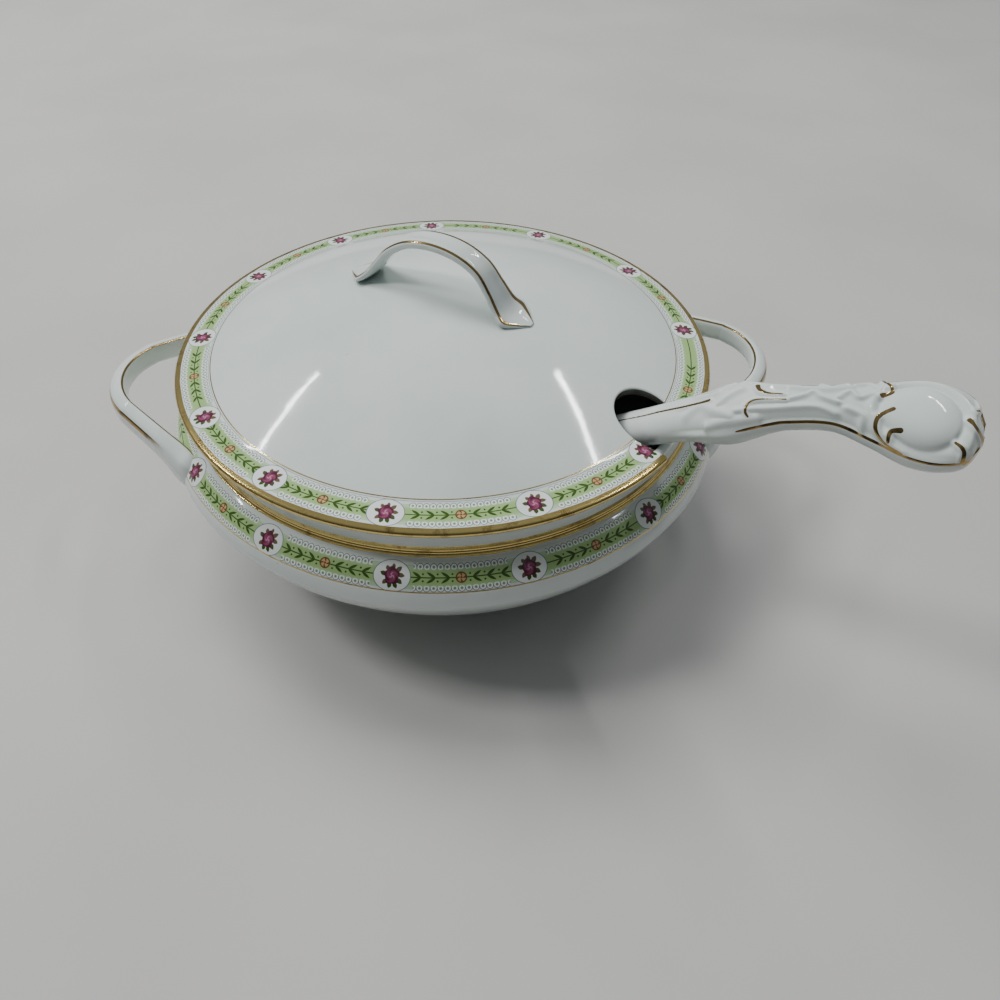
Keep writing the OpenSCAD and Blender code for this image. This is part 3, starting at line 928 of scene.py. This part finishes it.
def make_flange(material):
    """The ring under the lid, open where the ladle passes, with rounded ends."""
    inner = flange_outer - flange_wall
    round_over = 1.2
    low, high = flange_foot + round_over, seat_height + 0.1
    section = np.concatenate([
        polyline([[flange_outer, high], [flange_outer, low]], 1.5)[:-1],
        arc((flange_outer - round_over, low), round_over, 0, -90, 6),
        arc((inner + round_over, low), round_over, 270, 180, 6),
        polyline([[inner, low], [inner, high]], 1.5)[1:]])
    section = np.concatenate([section, section[:1]])
    gap = np.degrees(np.arcsin((notch_half + 4) / inner)) + 0.3
    angle = np.radians(np.linspace(gap, 360 - gap, 300)) + notch_angle
    radius, height = section[:, 0], section[:, 1]
    grid = np.stack([np.cos(angle)[:, None] * radius, np.sin(angle)[:, None] * radius,
                     height + 0 * angle[:, None]], -1)
    return skin("lid_flange_glazed", closed_ends(grid), material)


# --- Grip ------------------------------------------------------------------------------------

def dome_height_at(radius):
    """Height of the dome above its own top at a distance from the middle; it is negative."""
    return -(dome_height - border_lift) * (radius / border_radius) ** 2


def grip_half(slump):
    """Stations from the crown to the tip of a foot: distance, height above the dome's top, half
    width, half thickness. The strap comes down almost upright and its foot lies along the
    dome; a slump lowers the leg by a share of the crown's height."""
    half_span = grip_span / 2
    crown = grip_height - grip_thickness / 2
    half = grip_width / 2
    foot = grip_foot_width / 2
    thick = grip_thickness / 2
    knee = half_span - grip_foot_length
    instep = knee + grip_foot_length * 0.32
    toe = knee + grip_foot_length * 0.68
    return np.array([
        [0, crown, half, thick],
        [knee * 0.36, crown * (0.94 - slump * 0.4), half, thick],
        [knee * 0.66, crown * (0.73 - slump), half, thick],
        [knee * 0.85, crown * (0.4 - slump * 0.6), half * 1.12, thick * 0.9],
        [knee, dome_height_at(knee) + thick * 1.8, half * 1.33, thick * 0.85],
        [instep, dome_height_at(instep) + thick * 0.75, foot, thick * 0.75],
        [toe, dome_height_at(toe) + thick * 0.4, foot * 0.62, thick * 0.6],
        [half_span, dome_height_at(half_span) + thick * 0.25, foot * 0.16, thick * 0.4]])


def make_grip(material):
    """The strap grip: rounded sections across its course, with a shallow channel on top. The
    half away from the notch slumps a little."""
    course = blend(np.concatenate([grip_half(grip_slump)[:0:-1] * [-1, 1, 1, 1], grip_half(0)]), 10)
    across, up = rounded_section(64, 2.6)
    channel = 0.9 * np.exp(-(across / 0.45) ** 2) * (up > 0)
    lift = course[:, 3][:, None] * up - np.minimum(course[:, 3], 1.9)[:, None] * 0.45 * channel
    grid = closed_ends(upright_sweep(course, across, lift))
    grid = turn(grid + [-grip_shift, grip_aside, lid_top], grip_angle)
    layers = strap_layers(course[:, :2], grid.shape[1], grid.shape[0])
    return skin("lid_grip_glazed", grid, material, layers)


def grip_lines(tree):
    """A gold line along each edge of the strap and round its feet."""
    around = layer_uv(tree, "strap", 1)[1]
    return around.band(0.135, 0.03, 0.006).most(around.band(0.405, 0.026, 0.006))


# --- Ladle -----------------------------------------------------------------------------------

def shaft_slope(rim):
    """Slope of the shaft when the ladle's rim is at a height: the line that clears the point
    where it rests by the rolled handle's half height."""
    half = np.hypot(shaft_half_height * np.cos(ladle_roll), shaft_half_width * np.sin(ladle_roll))
    run = np.array([collar_inner + 0.2 - ladle_radius, seat_height - rim + foot_drop])
    return np.arctan2(run[1], run[0]) + np.arcsin(half / np.hypot(*run)), run, half


def rim_over_floor(slope):
    """Height of the ladle's rim when its rolled bowl just clears the floor: half an ellipsoid,
    turned, is as deep as the length of its half axes' upright parts."""
    turned = 1 - np.cos(ladle_roll)
    c, s = np.cos(slope), np.sin(slope)
    depth = np.sqrt((ladle_radius * c * s * turned) ** 2
                    + (ladle_radius * c * np.sin(ladle_roll)) ** 2
                    + (ladle_depth * (1 - c * c * turned)) ** 2)
    swing = ladle_radius * s + foot_drop * c
    return floor_rest + depth + swing * turned * c


floor_rest = foot_height + floor_thickness + rest_gap
first_rim = rim_over_floor(shaft_slope(floor_rest + ladle_depth)[0])
ladle_rim = rim_over_floor(shaft_slope(first_rim)[0])
shaft_angle, to_rest, rolled_half = shaft_slope(ladle_rim)
shaft_length = np.sqrt(to_rest @ to_rest - rolled_half ** 2)
shaft_rest = np.array([ladle_radius, ladle_rim - foot_drop]) \
    + shaft_length * np.array([np.cos(shaft_angle), np.sin(shaft_angle)])


def place_ladle(grid):
    """Lays what is drawn along the shaft's line where the ladle lies: rolled about the line,
    raised to its slope, moved to its rest and turned to the notch."""
    x, y, z = grid[..., 0], grid[..., 1], grid[..., 2]
    c, s = np.cos(ladle_roll), np.sin(ladle_roll)
    y, z = y * c - z * s, y * s + z * c
    c, s = np.cos(shaft_angle), np.sin(shaft_angle)
    x, z = x * c - z * s + shaft_rest[0], x * s + z * c + shaft_rest[1]
    return turn(np.stack([x, y, z], -1), notch_angle - ladle_turn)


def into_shaft_frame(grid):
    """From the ladle's upright frame, with its bowl's middle on the axis, to the shaft's."""
    x, y, z = grid[..., 0] - shaft_rest[0], grid[..., 1], grid[..., 2] - shaft_rest[1]
    c, s = np.cos(shaft_angle), np.sin(shaft_angle)
    return np.stack([x * c + z * s, y, z * c - x * s], -1)


def make_ladle_bowl(material):
    """The ladle's bowl: half an ellipsoid outside and inside, joined by a round lip."""
    a = np.radians(np.linspace(0, 90, 48))
    outer = np.stack([ladle_radius * np.sin(a), ladle_rim - ladle_depth * np.cos(a)], -1)
    inner_radius, inner_depth = ladle_radius - ladle_wall, ladle_depth - ladle_wall
    inner = np.stack([inner_radius * np.sin(a), ladle_rim - inner_depth * np.cos(a)], -1)
    lip_middle = (ladle_radius - ladle_wall / 2, ladle_rim)
    lip = arc(lip_middle, ladle_wall / 2, 0, 180, 12)[1:-1]
    lip[:, 1] = ladle_rim + (lip[:, 1] - ladle_rim) * 0.5
    profile = np.concatenate([outer, lip, inner[::-1]])
    grid = place_ladle(into_shaft_frame(turned_grid(profile, 160)))
    return skin("ladle_bowl_glazed", grid, material)


def ladle_stations():
    """Stations along the shaft's line from its rest: distance, offset, half width, height
    above and below."""
    w, h, kw, kh = shaft_half_width, shaft_half_height, knob_half_width, knob_half_height
    out, inside, droop = ladle_overhang, shaft_length, ladle_droop
    return [
        [-inside + 1.5, 0, w, h * 0.67, h * 0.67],
        [-inside + 18, 0, w * 0.82, h * 0.7, h * 0.7],
        [-inside * 0.4, 0, w * 0.9, h * 0.84, h * 0.84],
        [0, 0, w, h, h],
        [out * 0.124, droop * 0.006, w * 1.1, h * 1.1, h * 0.98],
        [out * 0.23, droop * 0.006, w * 1.36, h * 1.32, h * 1.15],
        [out * 0.332, -droop * 0.013, w * 1.52, h * 1.6, h * 1.38],
        [out * 0.465, -droop * 0.062, w * 1.15, h * 1.28, h * 0.95],
        [out * 0.535, -droop * 0.094, w * 1.06, h * 1.17, h * 0.92],
        [out * 0.655, -droop * 0.214, w * 1.08, h * 1.1, h * 0.98],
        [out * 0.752, -droop * 0.435, kw * 0.76, kh * 1.04, kh * 0.64],
        [out * 0.841, -droop * 0.662, kw * 0.98, kh * 1.25, kh * 0.78],
        [out * 0.912, -droop * 0.831, kw * 0.96, kh * 1.18, kh * 0.8],
        [out * 0.969, -droop * 0.948, kw * 0.74, kh * 0.9, kh * 0.76],
        [out, -droop, kw * 0.24, kh * 0.32, kh * 0.36]]


# Gilt strokes on the moulded end: points along, across and above the shaft's line in
# millimetres, and the stroke's half width where it starts and where it ends
LADLE_STROKES = [
    ([(-16, 0.3, 6.3), (-3, 0, 6.8), (7, 0.2, 7.2), (20, -0.5, 8.2), (31.5, -1.2, 10)], 0.3, 0.75),
    ([(49, 4.6, 7.6), (50.5, 2, 7.5), (54, 0.3, 6.8), (59, -0.4, 5.6)], 0.9, 0.3),
    ([(47.2, -8.4, 5), (46.6, -7, 6.8), (47.8, -4, 8), (51.5, -2.5, 7.3), (60.5, -2.8, 5.2)], 0.7, 0.3),
    ([(92.8, -3.6, -7), (89.5, -6, -6.2), (88, -9, -6.9), (88, -12, -9), (90, -14.6, -12.4),
      (94, -16.4, -16)], 0.8, 0.5),
    ([(86, 12.4, -8.5), (88, 9, -7.2), (91, 5.8, -6.7), (91.4, 3.8, -6.5), (89, 1.6, -5.2)], 0.4, 0.8),
    ([(94.8, -10.8, -10.3), (92, -11.3, -9.8), (90.8, -14, -12)], 1.0, 0.5),
    ([(112, -1.6, -20), (113.2, -3.4, -22), (113.6, -4, -26), (113, -5.2, -30.2),
      (111, -8.5, -31), (109.4, -14, -27.2)], 0.9, 0.9),
    ([(108.8, -10.8, -20), (110.2, -12.4, -23), (109.2, -14.5, -26)], 0.5, 0.9),
    ([(112.2, 3, -22), (112.8, 6, -25), (110.5, 10, -25)], 0.6, 0.6),
]

# Raised folds of the relief: points along and across, and half width
LADLE_FOLDS = [
    ([(20, -5), (27, -2), (34, -6), (41, -9)], 2.2),
    ([(24, 4), (32, 2), (40, 6)], 2.0),
    ([(30, -11), (40, -10.5), (50, -9)], 1.5),
    ([(36, -4), (40, 0), (44, 3)], 1.4),
    ([(43, -7), (50, -6), (60, -5.5), (70, -5), (76, -7)], 1.2),
    ([(43, 8), (52, 6), (62, 4), (72, 3), (80, 5)], 1.5),
    ([(62, -2), (66, -0.5), (69, 1.5), (72, -1), (77, -3)], 1.0),
    ([(70, 6), (74, 4), (78, 7)], 1.0),
    ([(77, -1), (80, 2.5), (83, 0), (86, 2)], 0.9),
    ([(80, 6), (84, 8), (88, 5)], 1.1),
    ([(80, -5), (84, -7), (83, -11)], 1.2),
]
EGG_MIDDLE = (100, -3)
EGG_HALF = (10.5, 12)
RELIEF_DEPTH = 1.3
RIM_SHARE = 0.036


def distance_to_stroke(places, points, start_width=0.0, end_width=0.0):
    """Distance from places to the nearest point of a smooth stroke, less its half width there.
    Points with two parts are measured along and across only."""
    line = blend(points, 16)
    widths = np.linspace(start_width, end_width, len(line))
    nearest = np.full(places.shape[:2], 50.0)
    for point, width in zip(line, widths):
        gap = np.linalg.norm(places[..., :len(point)] - point, axis=-1)
        nearest = np.minimum(nearest, gap - width)
    return nearest


def ease(value, low, high):
    """Smooth step: 0 at low, 1 at high, by three times the square less twice the cube."""
    share = np.clip((value - low) / (high - low), 0, 1)
    return share * share * (3 - 2 * share)


def ladle_relief(places, gilding):
    """Height of the moulded relief, at most 1: folds, rolls under the gilt strokes, and an egg
    with a groove and a raised rim round it. Each ridge is a bell curve of the distance from it."""
    height = np.exp(-(np.maximum(gilding, 0) / 0.9) ** 2) * 0.8
    for points, half in LADLE_FOLDS:
        height = np.maximum(height, np.exp(-(distance_to_stroke(places, points) / half) ** 2) * 0.9)
    far = np.hypot((places[..., 0] - EGG_MIDDLE[0]) / EGG_HALF[0],
                   (places[..., 1] - EGG_MIDDLE[1]) / EGG_HALF[1])
    height = height * ease(far, 0.9, 1.1)
    height += np.clip(1 - far ** 4, 0, 1) * 0.95
    height += np.exp(-((far - 1.27) / 0.1) ** 2) * 0.7 - np.exp(-((far - 1.06) / 0.06) ** 2) * 0.5
    return np.minimum(height, 1)


def make_ladle_handle(material):
    """The ladle's handle: rounded sections along its course, with the moulded relief sunk into
    its upper face. Map "gilding" holds the distance to the gilding's edge, in tenths of a metre."""
    course = blend(ladle_stations(), 24)
    across, up = rounded_section(200, 2.2)
    share = np.linspace(0, 1, 201)
    tall = np.where(up > 0, course[:, 3][:, None], course[:, 4][:, None])
    grid = upright_sweep(course, across, tall * up)
    gilding = np.full(grid.shape[:2], 50.0)
    for points, start_width, end_width in LADLE_STROKES:
        gilding = np.minimum(gilding, distance_to_stroke(grid, points, start_width, end_width))
    gilding = np.where(share < 0.53, gilding, 50.0)
    normal = np.cross(np.gradient(grid, axis=0), np.gradient(grid, axis=1))
    normal /= np.maximum(np.linalg.norm(normal, axis=2), 1e-9)[..., None]
    if np.sum(normal * (grid - grid.mean(axis=1, keepdims=True))) < 0:
        normal = -normal
    out = course[:, 0][:, None]
    face = ease(share, 0.02, 0.07) * ease(share, 0.48, 0.43) * ease(out, 10, 26)
    grid = grid + normal * ((ladle_relief(grid, gilding) - 1) * RELIEF_DEPTH * face)[..., None]
    # The rim lines start on the neck and widen as they run out to the end
    girth = np.linalg.norm(np.diff(grid, axis=1), axis=2).sum(axis=1)[:, None]
    rim = np.minimum(np.abs(share - 0.5 + RIM_SHARE), np.abs(share - RIM_SHARE)) * girth
    rim = rim - 0.55 * ease(out, 36, 46) + 3 * ease(out, 42, 36)
    gilding = np.clip(np.minimum(gilding, rim), -5, 5)
    gilding = np.concatenate([gilding[:1], gilding, gilding[-1:]])
    grid = place_ladle(closed_ends(grid))
    return skin("ladle_handle_glazed", grid, material, [("gilding", gilding / 100, gilding / 100)])


def ladle_lines(tree):
    """The gilt strokes and rim lines of the moulded end."""
    return layer_uv(tree, "gilding")[0].ramp(0.1, -0.1)


# --- The object ------------------------------------------------------------------------------

def settle(piece, body, slot, *nodes):
    """Gives a finished piece its body and hides the CAD nodes it stands for; slot is not used."""
    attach(piece, body)
    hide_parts(*nodes)


white = plain_glaze("white glaze")
settle(make_bowl(bowl_glaze()), "tureen", "glazed_body", "tureen_bowl")
settle(make_foot_ring(white), "tureen", "glazed_body", "foot_ring")
lined = lined_glaze("handle glaze and gilding", handle_lines)
settle(make_handle("right_handle_glazed", 1, lined), "tureen", "glazed_body", "right_handle")
settle(make_handle("left_handle_glazed", -1, lined), "tureen", "glazed_body", "left_handle")
settle(make_lid(lid_glaze()), "lid", "glazed_lid", "lid_cover")
settle(make_flange(white), "lid", "glazed_lid", "lid_flange")
lined = lined_glaze("grip glaze and gilding", grip_lines)
settle(make_grip(lined), "lid", "glazed_lid", "lid_grip")
settle(make_ladle_bowl(white), "ladle", "glazed_ladle", "ladle_bowl")
lined = lined_glaze("ladle glaze and gilding", ladle_lines)
settle(make_ladle_handle(lined), "ladle", "glazed_ladle", "ladle_handle")


# --- Stage, light and camera -------------------------------------------------------------------

def make_floor():
    """A plain pale table top, large enough to fill the view."""
    mesh = bpy.data.meshes.new("table_top")
    half = 3
    corners = [(-half, -half, 0), (half, -half, 0), (half, half, 0), (-half, half, 0)]
    mesh.from_pydata(corners, [], [(0, 1, 2, 3)])
    floor = bpy.data.objects.new("table_top", mesh)
    bpy.context.scene.collection.objects.link(floor)
    material = bpy.data.materials.new("pale table")
    material.use_nodes = True
    tree = material.node_tree
    shader = tree.nodes["Principled BSDF"]
    vector = object_place(tree)[0]
    clouds = noise(tree, vector, 5, 4).ramp(0.3, 0.7)
    colour = paint(tree, srgb(198, 196, 193), srgb(190, 188, 185), clouds)
    tree.links.new(colour, shader.inputs["Base Color"])
    shader.inputs["Roughness"].default_value = 0.45
    mesh.materials.append(material)


def make_light(name, start, end, width, power, aim=(0, 0, 0.08)):
    """A rectangular lamp that reaches from start to end and faces the aim."""
    start, end = np.array(start, float), np.array(end, float)
    lamp = bpy.data.lights.new(name, "AREA")
    lamp.shape = "RECTANGLE"
    lamp.size = width
    lamp.size_y = float(np.linalg.norm(end - start))
    lamp.energy = power
    light = bpy.data.objects.new(name, lamp)
    bpy.context.scene.collection.objects.link(light)
    place = (start + end) / 2
    length = (end - start) / lamp.size_y
    back = place - np.array(aim, float)
    back -= length * (back @ length)
    back /= np.linalg.norm(back)
    axes = Matrix(np.stack([np.cross(length, back), length, back], -1).tolist()).to_4x4()
    axes.translation = place
    light.matrix_world = axes
    return light


def make_room():
    """The room's own light: pale overhead and behind, dark in front of the table and low down."""
    world = bpy.data.worlds.new("room")
    world.use_nodes = True
    tree = world.node_tree
    facing = object_place(tree, "Generated")[1]
    high = facing[2].ramp(0.0, 0.9)
    far = (facing[1] + facing[2] * 0.5).ramp(-0.5, 0.7)
    background = tree.nodes["Background"]
    background.inputs["Color"].default_value = (0.88, 0.95, 1.0, 1)
    tree.links.new((far * 0.2 + high * 0.08 + 0.04).source, background.inputs["Strength"])
    bpy.context.scene.world = world


def make_lighting():
    """Two long ceiling tubes, a lamp on the left and a soft light overhead, in a room that is
    darker in front."""
    make_light("left_tube", (-1.75, 0.62, 1.8), (-1.1, 1.35, 1.8), 0.028, 6.5)
    make_light("right_tube", (1.15, 0.2, 1.8), (0.93, 1.1, 1.8), 0.028, 6.5)
    side_lamp = make_light("side_lamp", (-1.5, -0.1, 2.0), (-1.3, 0.35, 2.0), 0.5, 22)
    overhead = make_light("overhead", (-0.6, 0.6, 2.2), (-0.6, 1.8, 2.2), 1.2, 44)
    side_lamp.visible_glossy = False
    overhead.visible_glossy = False
    make_room()


def make_camera():
    """A wide lens close above the front edge, looking down at the lid."""
    pitch, yaw, roll = np.radians([45.99, 5.91, 1.18])
    forward = np.array([np.sin(yaw) * np.cos(pitch), np.cos(yaw) * np.cos(pitch), -np.sin(pitch)])
    right = np.array([np.cos(yaw), -np.sin(yaw), 0])
    up = np.cross(right, forward)
    tilted_right = np.cos(roll) * right + np.sin(roll) * up
    tilted_up = np.cos(roll) * up - np.sin(roll) * right
    lens = bpy.data.cameras.new("camera")
    lens.sensor_width = 36
    lens.lens = 27.04
    lens.clip_start = 0.01
    camera = bpy.data.objects.new("camera", lens)
    bpy.context.scene.collection.objects.link(camera)
    axes = Matrix(np.stack([tilted_right, tilted_up, -forward], -1).tolist()).to_4x4()
    axes.translation = (-0.0043, -0.3071, 0.305)
    camera.matrix_world = axes
    bpy.context.scene.camera = camera


make_floor()
make_lighting()
make_camera()
